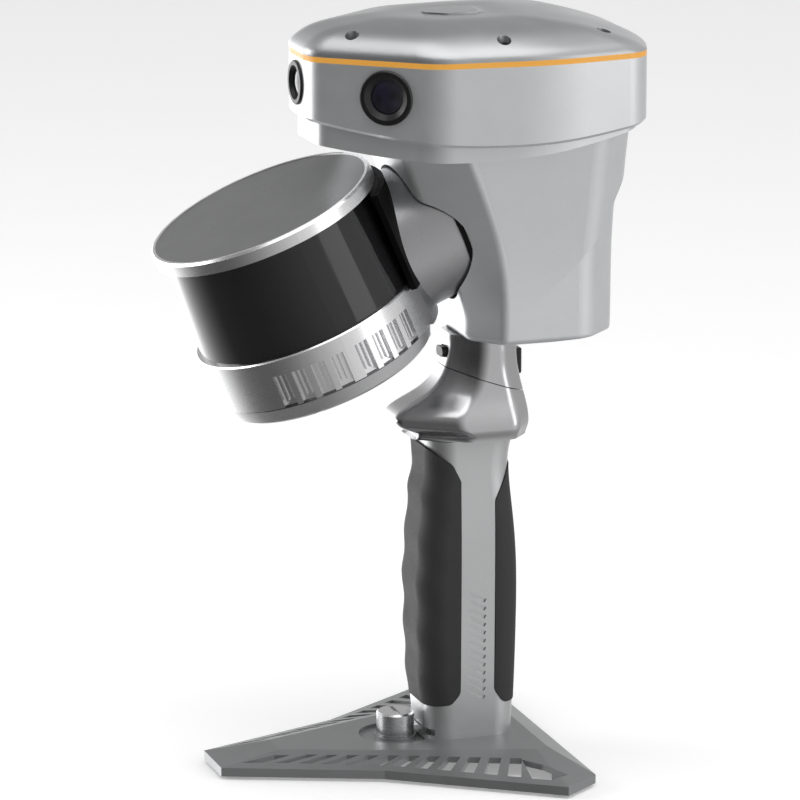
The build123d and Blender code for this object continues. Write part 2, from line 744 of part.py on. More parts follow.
def lidar_rotor():
    rotor = rod(ROTOR_R, -ROTOR_BOTTOM, -ROTOR_TOP) - rounded_block(-60, 60, -60, -38, -44, -14)
    rotor -= rod(MAGNET_OUT, -ROTOR_BOTTOM - 1, -33.5)
    for x in (-13.0, 13.0):
        rotor -= Pos(x, -32, -24) * Rot(90, 0, 0) * Cylinder(10.0, 14.0)
    rotor += rod(SHAFT_R, -67.0, -33.0)
    return tilted(rotor)


def rotor_lenses():
    shapes = []
    for x in (-13.0, 13.0):
        shapes.append(tilted(Pos(x, -35.0, -24) * Rot(90, 0, 0) * Cylinder(10.0, 4.0)))
    return shapes


def rotor_magnet():
    return tilted(ring(MAGNET_OUT, MAGNET_IN, -47.0, -37.0))


def lidar_bearings():
    shapes = []
    for low in (-41.0, -66.5):
        shapes.append(tilted(ring(BEARING_R, SHAFT_R + SHAFT_CLEARANCE, low, low + 5.0)))
    return shapes


def motor_stator():
    stator = ring(STATOR_R, BOSS_R, -47.0, -37.0)
    for n in range(9):
        stator -= Rot(0, 0, 40 * n) * rounded_block(-1.2, 1.2, 14.5, 24, -50, -30)
    return tilted(stator)


def lidar_board():
    return tilted(ring(43.0, BOSS_R + 1.5, -58.6, -57.0) - lug_clearance())


def lug_clearance():
    """Room in the lidar's board for the four screw lugs."""
    cuts = None
    for turn in (65, 155, 245, 335):
        cut = Rot(0, 0, turn) * rod(3.6, -60, -50, 0, -43.6)
        cuts = cut if cuts is None else cuts + cut
    return cuts


def lidar_shield():
    """A curved guard behind the window."""
    shield = ring(SHIELD_OUT, SHIELD_IN, -CRADLE_TOP + 0.3, -SHIELD_TOP)
    return tilted(shield & wedge(SHIELD_HALF_ANGLE, SHIELD_OUT, -60, 0))


def drum_rod(radius, start, end):
    """A cylinder along the drum's axis, in the lidar's own frame."""
    return Pos(0, 0, -DRUM_DEPTH) * Rot(-90, 0, 0) * rod(radius, start, end)


def bracket_screw_local():
    """Screws from inside the drum into the lidar's base ring."""
    shapes = []
    for x in (-14.0, 14.0):
        screw = rod(SCREW_R, LIDAR_R - 5.0, LIDAR_R + 1.0) + rod(SCREW_HEAD_R, LIDAR_R + 1.0, LIDAR_R + 2.8)
        shapes.append(Pos(0, 0, -63.0) * Rot(-90, 0, 0) * Pos(x, 0, 0) * screw)
    return shapes


def seat_screw_local():
    """Screws from inside the body into the drum's rear flange."""
    shapes = []
    for turn in (45, 135, 225, 315):
        screw = rod(SCREW_R, DRUM_FACE - 4.0, DRUM_FACE + 3.0) + rod(SCREW_HEAD_R, DRUM_FACE + 3.0, DRUM_FACE + 4.8)
        placed = Rot(0, 0, turn) * Pos(BRACKET_SCREW_CIRCLE, 0, 0) * screw
        shapes.append(Pos(0, 0, -DRUM_DEPTH) * Rot(-90, 0, 0) * placed)
    return shapes


def lidar_bracket():
    """The drum that carries the lidar, with the cradle around the lidar's base."""
    cradle = ring(LIDAR_R + 3.2, LIDAR_R, -CRADLE_BOTTOM, -CRADLE_TOP) & wedge(CRADLE_HALF_ANGLE, 56, -80, 0)
    drum = drum_rod(DRUM_R, 20, DRUM_FACE)
    drum -= rod(SHIELD_OUT, -CRADLE_TOP, 5)
    drum -= rod(LIDAR_R, -90, -CRADLE_TOP + 1)
    hollow = drum_rod(DRUM_R - 5.0, 20, DRUM_FACE - 4.5) - rod(SHIELD_OUT + 3.5, -CRADLE_TOP - 3.0, 5)
    hollow -= rod(LIDAR_R + 4.0, -90, 5)
    body = cradle + drum - hollow - drum_rod(9.0, DRUM_FACE - 8, DRUM_FACE + 1)
    passage = drum_rod(4.0, 40, DRUM_FACE)
    body -= Pos(0, 0, -21.0) * passage
    for screw in bracket_screw_local() + seat_screw_local():
        body -= screw
    return tilted(body)


def bracket_screws():
    return [tilted(shape) for shape in bracket_screw_local() + seat_screw_local()]


def bracket_seal():
    return on_drum_axis(ring(DRUM_R + SOCKET_GAP, DRUM_R, DRUM_FACE - 2.0, DRUM_FACE))


# Body casing --------------------------------------------------------------------------------------------


def body_section(z, front, nose, cheek_y, side, rear, inset=0.0, swell=0.0):
    """A casing cross-section: flat front, slanted cheeks, near-parallel sides and a rounded rear.

    swell pushes the rear out, and the sides with it, less and less towards the cheeks.
    """
    i = inset
    half = [
        (nose - i * 0.6, front + i),
        (side - i, cheek_y + i * 0.4),
        (side - i + swell * 0.55, rear - 16.0 + swell * 0.6),
        (side * 0.62 - i + swell * 0.4, rear - i + swell),
    ]
    return mirrored_face(half, [6.0, 5.0, 14.0, 12.0], z)


def body_sections(inset=0.0, swell=0.0):
    """The casing's cross-sections. Each row is (z, front, nose, cheek, side, rear) and a share of swell."""
    rows = [
        ((BODY_BOTTOM, -5.0, 22.0, 8.0, 37.5, 63.4), 0.0),
        ((208.0, -5.5, 22.0, 8.0, 38.0, 63.6), 0.0),
        ((232.0, -16.0, 23.0, 6.0, 39.0, 63.6), 0.7),
        ((262.0, -30.0, 26.0, -4.0, 42.0, 65.0), 1.0),
        ((BODY_TOP, -42.0, 30.0, -16.0, 46.0, 67.5), 1.0),
    ]
    return [body_section(*row, inset=inset, swell=swell * share) for row, share in rows]


def bowl(radius, y, low, lift):
    """The space above a cylinder along X whose lowest line is at that y and height."""
    return Pos(0, y, low + radius) * Rot(0, 90, 0) * Cylinder(radius - lift, 200)


def belly(lift=0.0):
    """The space above the head's underside."""
    return bowl(BELLY_R, BELLY_Y, BELLY_LOW, lift)


def head_space():
    """Everything that belongs to the head, taken away from the casing's top."""
    return belly() & rounded_block(-80, 80, -90, 90, 270, 340)


def board_post_places():
    return [(-22.0, 212.0), (22.0, 212.0), (-22.0, 262.0), (22.0, 262.0)]


def along_y(radius, y0, y1, x, z):
    """A cylinder along +Y."""
    return Pos(x, (y0 + y1) / 2, z) * Rot(90, 0, 0) * Cylinder(radius, y1 - y0)


def body_shell():
    outer = loft(body_sections())
    outer = fillet(outer.faces().sort_by(Axis.Z)[0].edges(), 3.0)
    slope = Pos(0, 26.0, BODY_BOTTOM) * Rot(3.2, 0, 0) * Pos(0, 40, -10) * Box(120, 80, 20)
    outer -= slope
    raised = [(11.0, 206.0), (24.0, 212.0), (36.0, 223.0), (52.7, 241.4), (60.5, 254.0), (90.0, 300.0)]
    raised += [(-12.5, 300.0), (-12.0, 292.0), (-1.0, 262.0), (9.0, 232.0)]
    panel = extrude(Plane.YZ * make_face(Polyline(*raised, close=True)), 60, both=True)
    outer += loft(body_sections(swell=2.8)) & panel
    inner = loft(body_sections(BODY_WALL)) & rounded_block(-60, 60, -60, 80, BODY_BOTTOM + BODY_WALL, 300)
    inner -= Pos(0, 0, 2.0) * slope
    inner -= on_drum_axis(rod(DRUM_R + 6, 0, DRUM_FACE + 3.0))
    shell = outer - inner
    shell -= on_drum_axis(rod(DRUM_R + SOCKET_GAP, 0, DRUM_FACE))
    shell -= on_drum_axis(rod(9.0, DRUM_FACE - 10, DRUM_FACE + 12))
    shell -= rod(8.0, BODY_BOTTOM - 1, BODY_BOTTOM + 8, y=10.0)
    for x, z in board_post_places():
        shell += along_y(3.0, BOARD_Y + 1.6, 63.0, x, z) & outer
        shell -= along_y(SCREW_R, BOARD_Y - 2, BOARD_Y + 8.0, x, z)
    for x, y in neck_screw_places():
        shell -= rod(SCREW_R, BODY_BOTTOM - 1, BODY_BOTTOM + 8, x, y)
    for screw in seat_screw_local():
        shell -= tilted(screw)
    return shell - head_space()


def main_board():
    board = rounded_block(-29, 29, BOARD_Y, BOARD_Y + 1.6, 204, 270)
    for x, z in board_post_places():
        board -= along_y(SCREW_R, BOARD_Y - 2, BOARD_Y + 4, x, z)
    chips = rounded_block(8, 20, BOARD_Y + 1.6, BOARD_Y + 3.0, 240, 252)
    chips += rounded_block(-18, -4, BOARD_Y + 1.6, BOARD_Y + 3.0, 222, 232)
    return board + chips


def board_screws():
    shapes = []
    for x, z in board_post_places():
        head = along_y(SCREW_HEAD_R, BOARD_Y - SCREW_HEAD, BOARD_Y, x, z)
        shapes.append(head + along_y(SCREW_R, BOARD_Y - 0.1, BOARD_Y + 7.0, x, z))
    return shapes


def heat_sink():
    sink = rounded_block(-16, 16, BOARD_Y - 4, BOARD_Y, 222, 254)
    for n in range(8):
        x = -15 + 4 * n
        sink += rounded_block(x, x + 1.4, BOARD_Y - 12, BOARD_Y - 3, 222, 254)
    return sink


def imu_module():
    low = BODY_BOTTOM + BODY_WALL
    return rounded_block(15.5, 31.5, 24, 38, low, low + 8, 1.0)


# Head ---------------------------------------------------------------------------------------------------


def is_upright(edge):
    start = edge.position_at(0)
    end = edge.position_at(1)
    return math.hypot(start.X - end.X, start.Y - end.Y) < 0.01


def head_block(inset, lift, top):
    """The head's band: an outer wall with a fine bevel along its lower edge, and a belly set in below."""
    wall = outline_prism(inset, 270.0, top) & bowl(EDGE_R, EDGE_Y, EDGE_LOW, lift)
    if lift == 0:
        low = [e for e in wall.edges() if e.center().Z < 312.0 and not is_upright(e)]
        wall = chamfer(low, HEAD_BEVEL)
    return wall + (outline_prism(inset + BELLY_INSET, 270.0, top) & belly(lift))


def outline_prism(inset, z0, z1):
    """The head's outline, moved inwards, as an upright block."""
    radii = [max(r - inset, 3.0) for r in HEAD_RADII]
    return extrude(mirrored_face(shrunk(HEAD_OUTLINE, inset), radii, z0), z1 - z0)


def camera_at(camera, shape):
    """Places a shape made about +Z, which looks outwards, on one camera's seat."""
    _, x, y, z, turn, _, _ = camera
    return Pos(x, y, z) * Rot(0, 0, turn) * Rot(90, 0, 0) * shape


def camera_bezel(camera):
    radius, glass = camera[5], camera[6]
    bezel = rod(radius, 0, BEZEL_PROUD)
    bezel = chamfer(bezel.edges().filter_by(GeomType.CIRCLE).sort_by(Axis.Z)[-1], 0.5)
    bezel += rod(glass + 1.4, -HEAD_WALL - 2, 0)
    bezel -= rod(glass, -HEAD_WALL - 3, 5)
    bezel -= Pos(0, 0, 0.35) * Cone(glass, radius - 2.2, 1.8)
    return camera_at(camera, bezel)


def camera_lens(camera):
    glass = camera[6]
    dome = rod(glass, -3.2, 0.4) & (Pos(0, 0, 0.2 - 20.0) * Sphere(20.0))
    return camera_at(camera, dome)


def camera_barrel(camera):
    glass = camera[6]
    barrel = ring(glass, glass - 1.6, -6.0, -3.2) + rod(glass, -CAMERA_DEPTH, -6.0)
    return camera_at(camera, barrel)


def camera_board(camera):
    width, height, thick = CAMERA_BOARD
    board = rounded_block(-width / 2, width / 2, -height / 2, height / 2, -CAMERA_DEPTH - thick, -CAMERA_DEPTH)
    return camera_at(camera, board)


def dome_solid(drop, share):
    """The dome's outside, or the same shape made smaller for its inside."""
    faces = []
    for z, scale, shift in DOME_LEVELS:
        size = scale * share
        half = [(x * size, y * size + shift) for x, y in HEAD_OUTLINE]
        faces.append(mirrored_face(half, [r * size for r in HEAD_RADII], z - drop))
    return loft(faces)


def dome_screw_places():
    return [(x * side, y, z) for x, y, z in SCREW_PLACES for side in (1, -1)]


def antenna_dome():
    outer = dome_solid(0, 1.0)
    dome = outer - dome_solid(DOME_WALL, 1 - DOME_WALL / 57.0)
    for x, y, z in dome_screw_places():
        dome += rod(SCREW_HEAD_R + 2.0, DOME_BASE, z + 12, x, y) & outer
    for x, y, z in dome_screw_places():
        dome -= rod(SCREW_HEAD_R + 0.4, z, z + 20, x, y)
        dome -= rod(SCREW_R, DOME_BASE - 1, z + 1, x, y)
    return dome


def dome_screws():
    shapes = []
    for x, y, z in dome_screw_places():
        head = rod(SCREW_HEAD_R, z, z + SCREW_HEAD, x, y) - rod(1.2, z + 0.8, z + 5, x, y)
        shapes.append(head + rod(SCREW_R, DOME_BASE - 8.0, z, x, y))
    return shapes


def accent_ring():
    return outline_prism(0, HEAD_TOP, DOME_BASE) - outline_prism(ACCENT_WALL, HEAD_TOP - 1, DOME_BASE + 1)


def head_gasket():
    """A sealing cord inside the accent ring."""
    outer = outline_prism(ACCENT_WALL, HEAD_TOP, DOME_BASE)
    return outer - outline_prism(ACCENT_WALL + 1.8, HEAD_TOP - 1, DOME_BASE + 1)


def antenna_posts():
    return [(-30.0, -8.0), (30.0, -8.0), (-30.0, 41.0), (30.0, 41.0)]


def head_shell():
    shell = head_block(0, 0, HEAD_TOP) - head_block(HEAD_WALL, HEAD_WALL, HEAD_TOP + 5)
    for x, y, _ in dome_screw_places():
        shell += rod(4.2, 270, DOME_BASE, x, y) & head_block(0, 0, DOME_BASE)
        shell -= rod(SCREW_R, DOME_BASE - 9.0, DOME_BASE + 1, x, y)
    for x, y in antenna_posts():
        shell += rod(3.0, 270, ANTENNA_BOARD_Z, x, y) & belly()
    shell -= rounded_block(-20, 20, -10, 30, 270, 290, 6.0)
    for camera in CAMERAS:
        shell -= camera_at(camera, rod(camera[6] + 1.4, -HEAD_WALL - 4, 5))
    return shell


def antenna_board():
    z = ANTENNA_BOARD_Z
    return rounded_block(-35, 35, -14, 47, z, z + 1.6, 4.0)


def antenna_plane():
    """The metal disc under the antenna, on four spacers."""
    z = ANTENNA_BOARD_Z + 1.6
    plane = rod(38.0, z + 12.0, z + 13.2, y=12.0)
    for x in (-16.0, 16.0):
        for y in (-4.0, 28.0):
            plane += rod(2.5, z, z + 12.5, x, y)
    return plane


def antenna_element():
    z = ANTENNA_BOARD_Z + 14.8
    return rod(25.0, z, z + 8.0, y=12.0)


# Every part ---------------------------------------------------------------------------------------------

write("stand_plate", stand_plate())
write("foot_pads", *foot_pads())
write("lock_knob", lock_knob())
write("knob_circlip", knob_circlip())
write("handle_frame", handle_frame())
write("front_grip", front_grip())
write("rear_grip", rear_grip())
write("pole_insert", pole_insert())
write("battery_cells", *battery_cells())
write("battery_board", battery_board())
write("hand_guard", hand_guard())
write("neck_shell", neck_shell())
write("power_button", power_button())
write("power_switch", *power_switch())
write("port_cover", port_cover())
write("usb_socket", usb_socket())
write("neck_screws", *neck_screws())
write("lidar_cap", lidar_cap())
write("lidar_top_plate", lidar_top_plate())
write("lidar_window", lidar_window())
write("lidar_base", lidar_base())
write("lidar_bottom", lidar_bottom())
write("lidar_screws", *lidar_screws())
write("lidar_rotor", lidar_rotor())
write("rotor_lenses", *rotor_lenses())
write("rotor_magnet", rotor_magnet())
write("lidar_bearings", *lidar_bearings())
write("motor_stator", motor_stator())
write("lidar_board", lidar_board())
write("lidar_shield", lidar_shield())
write("lidar_bracket", lidar_bracket())
write("bracket_screws", *bracket_screws())
write("bracket_seal", bracket_seal())
write("body_shell", body_shell())
write("main_board", main_board())
write("board_screws", *board_screws())
write("heat_sink", heat_sink())
write("imu_module", imu_module())
write("head_shell", head_shell())
write("antenna_dome", antenna_dome())
write("dome_screws", *dome_screws())
write("accent_ring", accent_ring())
write("head_gasket", head_gasket())
write("antenna_board", antenna_board())
write("antenna_plane", antenna_plane())
write("antenna_element", antenna_element())
for seat in CAMERAS:
    write(f"{seat[0]}_bezel", camera_bezel(seat))
    write(f"{seat[0]}_lens", camera_lens(seat))
    write(f"{seat[0]}_barrel", camera_barrel(seat))
    write(f"{seat[0]}_board", camera_board(seat))
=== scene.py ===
"""The looks of a handheld laser scanner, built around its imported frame.

Everything is in metres. +Z runs up the handle, -Y is the front, where the tilted lidar looks, and +X is the
scanner's own left.
"""

import math

import bmesh
import bpy
from bpy.props import FloatProperty, FloatVectorProperty, PointerProperty
from bpy.types import Operator, Panel, PropertyGroup
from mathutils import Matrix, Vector


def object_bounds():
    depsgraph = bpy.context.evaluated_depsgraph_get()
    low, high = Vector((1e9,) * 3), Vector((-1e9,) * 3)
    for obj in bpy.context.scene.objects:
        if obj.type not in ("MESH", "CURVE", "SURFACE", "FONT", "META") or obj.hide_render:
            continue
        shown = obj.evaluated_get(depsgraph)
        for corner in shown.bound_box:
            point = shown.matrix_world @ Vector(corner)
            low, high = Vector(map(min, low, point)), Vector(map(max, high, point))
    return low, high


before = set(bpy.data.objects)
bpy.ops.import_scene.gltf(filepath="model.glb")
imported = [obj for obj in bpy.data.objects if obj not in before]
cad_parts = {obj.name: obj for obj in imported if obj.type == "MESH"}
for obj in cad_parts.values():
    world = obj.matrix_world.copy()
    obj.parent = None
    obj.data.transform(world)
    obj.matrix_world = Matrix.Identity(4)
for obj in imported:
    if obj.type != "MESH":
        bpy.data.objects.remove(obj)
CAD_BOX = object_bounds()

bl_info = {
    "name": "Handheld laser scanner",
    "version": (1, 0, 0),
    "blender": (4, 5, 0),
    "location": "3D View > Sidebar > Scanner",
    "description": "Finishes a handheld laser scanner and sets its studio",
    "category": "Object",
}

# Bright and dark patches of the studio's walls, as an incoming ray meets them. Each is
# (turn from the front, rise, half-angle of its core, half-angle where it ends, gain). The angles are in
# degrees, and the gain multiplies the room's light.
ROOM_PATCHES = (
    (20.0, -5.0, 12.0, 95.0, 0.05),
    (-58.0, -8.0, 22.0, 50.0, 3.6),
    (-90.0, 34.0, 12.0, 38.0, 0.30),
    (-115.0, -12.0, 10.0, 40.0, 1.4),
    (-160.0, -14.0, 15.0, 50.0, 0.7),
    (0.0, -90.0, 25.0, 65.0, 0.3),
)

LIDAR_TILT = math.radians(23.0)
DUST = (0.62, 0.60, 0.57)

LOOK_AT = (0.0, -0.0277, 0.1632)
LENS_MM = 243.9
SENSOR_MM = 36.0
NEAR_CLIP = 0.05
FAR_CLIP = 30.0
FLOOR_HALF = 6.0
FLOOR_GLOW = 0.22
NODE_SPACING = 190


# Sizes and colours a user would change --------------------


def colour(name, text, value):
    """A colour setting."""
    return FloatVectorProperty(
        name=name,
        description=text,
        default=value,
        subtype="COLOR",
        size=3,
        min=0,
        max=1,
    )


class ScannerPaint(PropertyGroup):
    """Colours and gloss of the outside."""

    body: colour("Body paint", "Silver-grey metallic paint of the casing", (0.70, 0.71, 0.72))
    dome: colour("Dome paint", "Silver-grey paint of the antenna dome", (0.46, 0.465, 0.475))
    accent: colour("Accent", "The orange line around the head", (0.86, 0.40, 0.05))
    rubber: colour("Rubber", "The two grips", (0.024, 0.024, 0.026))
    stand: colour("Stand paint", "Powder coat of the stand plate", (0.34, 0.345, 0.35))
    lidar_top: colour("Lidar top", "Satin plate on the lidar's top", (0.22, 0.222, 0.225))
    window: colour("Window", "Dark infrared window of the lidar", (0.012, 0.012, 0.013))
    body_gloss: FloatProperty(
        name="Body roughness",
        description="Roughness of the casing's paint",
        default=0.36,
        min=0,
        max=1,
    )


class ScannerStudio(PropertyGroup):
    """The camera and the lights."""

    azimuth: FloatProperty(
        name="Azimuth",
        description="How far the camera stands round from the front, towards the scanner's left",
        default=math.radians(71.7),
        subtype="ANGLE",
    )
    elevation: FloatProperty(
        name="Elevation",
        description="How far the camera looks down",
        default=math.radians(13.8),
        subtype="ANGLE",
    )
    distance: FloatProperty(
        name="Distance",
        description="From the camera to the point it looks at",
        default=2.4,
        unit="LENGTH",
    )
    key: FloatProperty(
        name="Key light",
        description="Power of the key softbox",
        default=12.0,
        unit="POWER",
    )
    fill: FloatProperty(
        name="Fill light",
        description="Power of the fill softbox",
        default=4.0,
        unit="POWER",
    )
    top: FloatProperty(
        name="Top light",
        description="Power of the overhead softbox",
        default=9.0,
        unit="POWER",
    )
    room: FloatProperty(
        name="Room",
        description="Brightness of the room around the scanner",
        default=0.95,
        min=0,
    )


# Node groups shared by the materials --------------------


class NodeSheet:
    """Adds nodes to a tree from left to right and links them."""

    def __init__(self, tree):
        self.tree = tree
        self.column = 0

    def add(self, kind, **settings):
        node = self.tree.nodes.new(kind)
        node.location = (self.column * NODE_SPACING, 0)
        self.column += 1
        for name, value in settings.items():
            setattr(node, name, value)
        return node

    def link(self, source, target):
        self.tree.links.new(source, target)

    def math(self, operation, a, b=None, clamp=False):
        node = self.add("ShaderNodeMath", operation=operation, use_clamp=clamp)
        for socket, value in zip(node.inputs, (a, b)):
            if value is None:
                continue
            if isinstance(value, (int, float)):
                socket.default_value = value
            else:
                self.link(value, socket)
        return node.outputs[0]

    def mix(self, share, a, b):
        node = self.add("ShaderNodeMix", data_type="RGBA")
        for socket, value in ((node.inputs[0], share), (node.inputs[6], a), (node.inputs[7], b)):
            if isinstance(value, (int, float)):
                socket.default_value = value
            elif isinstance(value, (tuple, list)):
                socket.default_value = (*value[:3], 1.0)
            else:
                self.link(value, socket)
        return node.outputs[2]

    def noise(self, vector, scale, detail=3.0, rough=0.5):
        node = self.add("ShaderNodeTexNoise")
        node.inputs["Scale"].default_value = scale
        node.inputs["Detail"].default_value = detail
        node.inputs["Roughness"].default_value = rough
        self.link(vector, node.inputs["Vector"])
        return node.outputs["Fac"]

    def spread(self, value, low, high, to_low=0.0, to_high=1.0):
        node = self.add("ShaderNodeMapRange", clamp=True)
        self.link(value, node.inputs[0])
        for socket, number in zip(node.inputs[1:5], (low, high, to_low, to_high)):
            socket.default_value = number
        return node.outputs[0]


def new_group(name, inputs, outputs):
    """An empty node group with named sockets. Each socket is (name, kind, default)."""
    tree = bpy.data.node_groups.new(name, "ShaderNodeTree")
    for label, kind, value in inputs:
        socket = tree.interface.new_socket(label, in_out="INPUT", socket_type=kind)
        if value is not None:
            socket.default_value = value
    for label, kind, _ in outputs:
        tree.interface.new_socket(label, in_out="OUTPUT", socket_type=kind)
    sheet = NodeSheet(tree)
    entry = sheet.add("NodeGroupInput")
    return tree, sheet, entry


def finish_group(sheet, values):
    exit_node = sheet.add("NodeGroupOutput")
    for label, value in values.items():
        sheet.link(value, exit_node.inputs[label])


def grain_group():
    """Fine two-scale grain of a painted or moulded surface."""
    tree, sheet, entry = new_group(
        "Surface grain",
        [("Vector", "NodeSocketVector", None), ("Fine", "NodeSocketFloat", 2600.0)],
        [("Value", "NodeSocketFloat", None), ("Height", "NodeSocketFloat", None)],
    )
    fine = sheet.add("ShaderNodeTexNoise")
    fine.inputs["Detail"].default_value = 2.0
    sheet.link(entry.outputs["Vector"], fine.inputs["Vector"])
    sheet.link(entry.outputs["Fine"], fine.inputs["Scale"])
    broad = sheet.noise(entry.outputs["Vector"], 95.0, 4.0)
    fine_share = sheet.math("MULTIPLY", fine.outputs["Fac"], 0.7)
    broad_share = sheet.math("MULTIPLY", broad, 0.3)
    both = sheet.math("ADD", fine_share, broad_share)
    finish_group(sheet, {"Value": both, "Height": fine.outputs["Fac"]})
    return tree


def wear_group():
    """Where edges stick out far enough to be rubbed: 1 on a worn edge, 0 on a face."""
    tree, sheet, entry = new_group(
        "Edge wear",
        [
            ("Vector", "NodeSocketVector", None),
            ("Width", "NodeSocketFloat", 0.0006),
            ("Amount", "NodeSocketFloat", 0.5),
        ],
        [("Mask", "NodeSocketFloat", None)],
    )
    bevel = sheet.add("ShaderNodeBevel", samples=4)
    sheet.link(entry.outputs["Width"], bevel.inputs["Radius"])
    geometry = sheet.add("ShaderNodeNewGeometry")
    dot = sheet.add("ShaderNodeVectorMath", operation="DOT_PRODUCT")
    sheet.link(bevel.outputs[0], dot.inputs[0])
    sheet.link(geometry.outputs["Normal"], dot.inputs[1])
    edge = sheet.spread(dot.outputs["Value"], 0.97, 0.86)
    patchy = sheet.spread(sheet.noise(entry.outputs["Vector"], 240.0, 5.0, 0.6), 0.38, 0.62)
    mask = sheet.math("MULTIPLY", sheet.math("MULTIPLY", edge, patchy), entry.outputs["Amount"], clamp=True)
    finish_group(sheet, {"Mask": mask})
    return tree


def dust_group():
    """Thin dust and handling marks: more on faces that look up."""
    tree, sheet, entry = new_group(
        "Dust and marks",
        [("Vector", "NodeSocketVector", None), ("Amount", "NodeSocketFloat", 0.2)],
        [("Dust", "NodeSocketFloat", None), ("Marks", "NodeSocketFloat", None)],
    )
    geometry = sheet.add("ShaderNodeNewGeometry")
    up = sheet.add("ShaderNodeSeparateXYZ")
    sheet.link(geometry.outputs["Normal"], up.inputs[0])
    facing = sheet.spread(up.outputs["Z"], 0.2, 1.0)
    cloud = sheet.spread(sheet.noise(entry.outputs["Vector"], 60.0, 6.0, 0.6), 0.45, 0.75)
    dust = sheet.math("MULTIPLY", sheet.math("MULTIPLY", facing, cloud), entry.outputs["Amount"], clamp=True)
    marks = sheet.spread(sheet.noise(entry.outputs["Vector"], 28.0, 4.0, 0.55), 0.4, 0.7)
    finish_group(sheet, {"Dust": dust, "Marks": marks})
    return tree


GROUPS = {}


def group(name):
    """A shared group, built the first time it is asked for."""
    makers = {"grain": grain_group, "wear": wear_group, "dust": dust_group}
    if name not in GROUPS:
        GROUPS[name] = makers[name]()
    return GROUPS[name]


# Materials --------------------


def start_material(name, metallic=0.0, coat=0.0, coat_roughness=0.1, specular=0.5):
    """A material with its Principled shader and Object coordinates ready."""
    material = bpy.data.materials.new(name)
    material.use_nodes = True
    tree = material.node_tree
    tree.nodes.clear()
    sheet = NodeSheet(tree)
    place = sheet.add("ShaderNodeTexCoord")
    shader = tree.nodes.new("ShaderNodeBsdfPrincipled")
    shader.location = (2600, 0)
    output = tree.nodes.new("ShaderNodeOutputMaterial")
    output.location = (2900, 0)
    sheet.link(shader.outputs[0], output.inputs[0])
    shader.inputs["Metallic"].default_value = metallic
    shader.inputs["Coat Weight"].default_value = coat
    shader.inputs["Coat Roughness"].default_value = coat_roughness
    shader.inputs["Specular IOR Level"].default_value = specular
    return material, sheet, place.outputs["Object"], shader


def place_group(sheet, name, vector, **values):
    node = sheet.add("ShaderNodeGroup", node_tree=group(name))
    sheet.link(vector, node.inputs["Vector"])
    for label, value in values.items():
        node.inputs[label].default_value = value
    return node


def bump(sheet, shader, height, strength, distance):
    node = sheet.add("ShaderNodeBump")
    node.inputs["Strength"].default_value = strength
    node.inputs["Distance"].default_value = distance
    sheet.link(height, node.inputs["Height"])
    sheet.link(node.outputs[0], shader.inputs["Normal"])


def shade(tone, by):
    """A colour made lighter or darker."""
    return tuple(min(1.0, c * by) for c in tone)


def painted_metal(name, tone, roughness, metallic=0.75, wear=0.35, fine=3000.0, grain=0.06, coat=0.0):
    """Metallic paint or blasted metal: fine grain, dull marks, pale worn edges and a little dust."""
    material, sheet, place, shader = start_material(name, metallic=metallic, coat=coat)
    grains = place_group(sheet, "grain", place, Fine=fine)
    worn = place_group(sheet, "wear", place, Amount=wear)
    dusty = place_group(sheet, "dust", place, Amount=0.05)
    base = sheet.mix(grains.outputs["Value"], shade(tone, 1 - grain * 2), shade(tone, 1 + grain * 2))
    base = sheet.mix(worn.outputs["Mask"], base, shade(tone, 1.35))
    base = sheet.mix(dusty.outputs["Dust"], base, DUST)
    sheet.link(base, shader.inputs["Base Color"])
    rough = sheet.spread(grains.outputs["Value"], 0.35, 0.65, roughness - 0.05, roughness + 0.05)
    rough = sheet.math("ADD", rough, sheet.math("MULTIPLY", dusty.outputs["Marks"], 0.06))
    sheet.link(rough, shader.inputs["Roughness"])
    bump(sheet, shader, grains.outputs["Height"], 0.08, 0.00005)
    return material


def moulded(name, tone, roughness, fine=1800.0, strength=0.25, grain=0.12, coat=0.0, wear=0.2, specular=0.5):
    """Moulded plastic or rubber with a fine texture."""
    material, sheet, place, shader = start_material(name, coat=coat, specular=specular)
    grains = place_group(sheet, "grain", place, Fine=fine)
    worn = place_group(sheet, "wear", place, Amount=wear)
    dusty = place_group(sheet, "dust", place, Amount=0.10)
    base = sheet.mix(grains.outputs["Value"], shade(tone, 1 - grain), shade(tone, 1 + grain))
    base = sheet.mix(worn.outputs["Mask"], base, shade(tone, 1.8))
    base = sheet.mix(dusty.outputs["Dust"], base, (0.45, 0.44, 0.42))
    sheet.link(base, shader.inputs["Base Color"])
    rough = sheet.spread(grains.outputs["Value"], 0.35, 0.65, roughness - 0.06, roughness + 0.06)
    rough = sheet.math("ADD", rough, sheet.math("MULTIPLY", dusty.outputs["Marks"], 0.05))
    sheet.link(rough, shader.inputs["Roughness"])
    bump(sheet, shader, grains.outputs["Height"], strength, 0.0001)
    return material


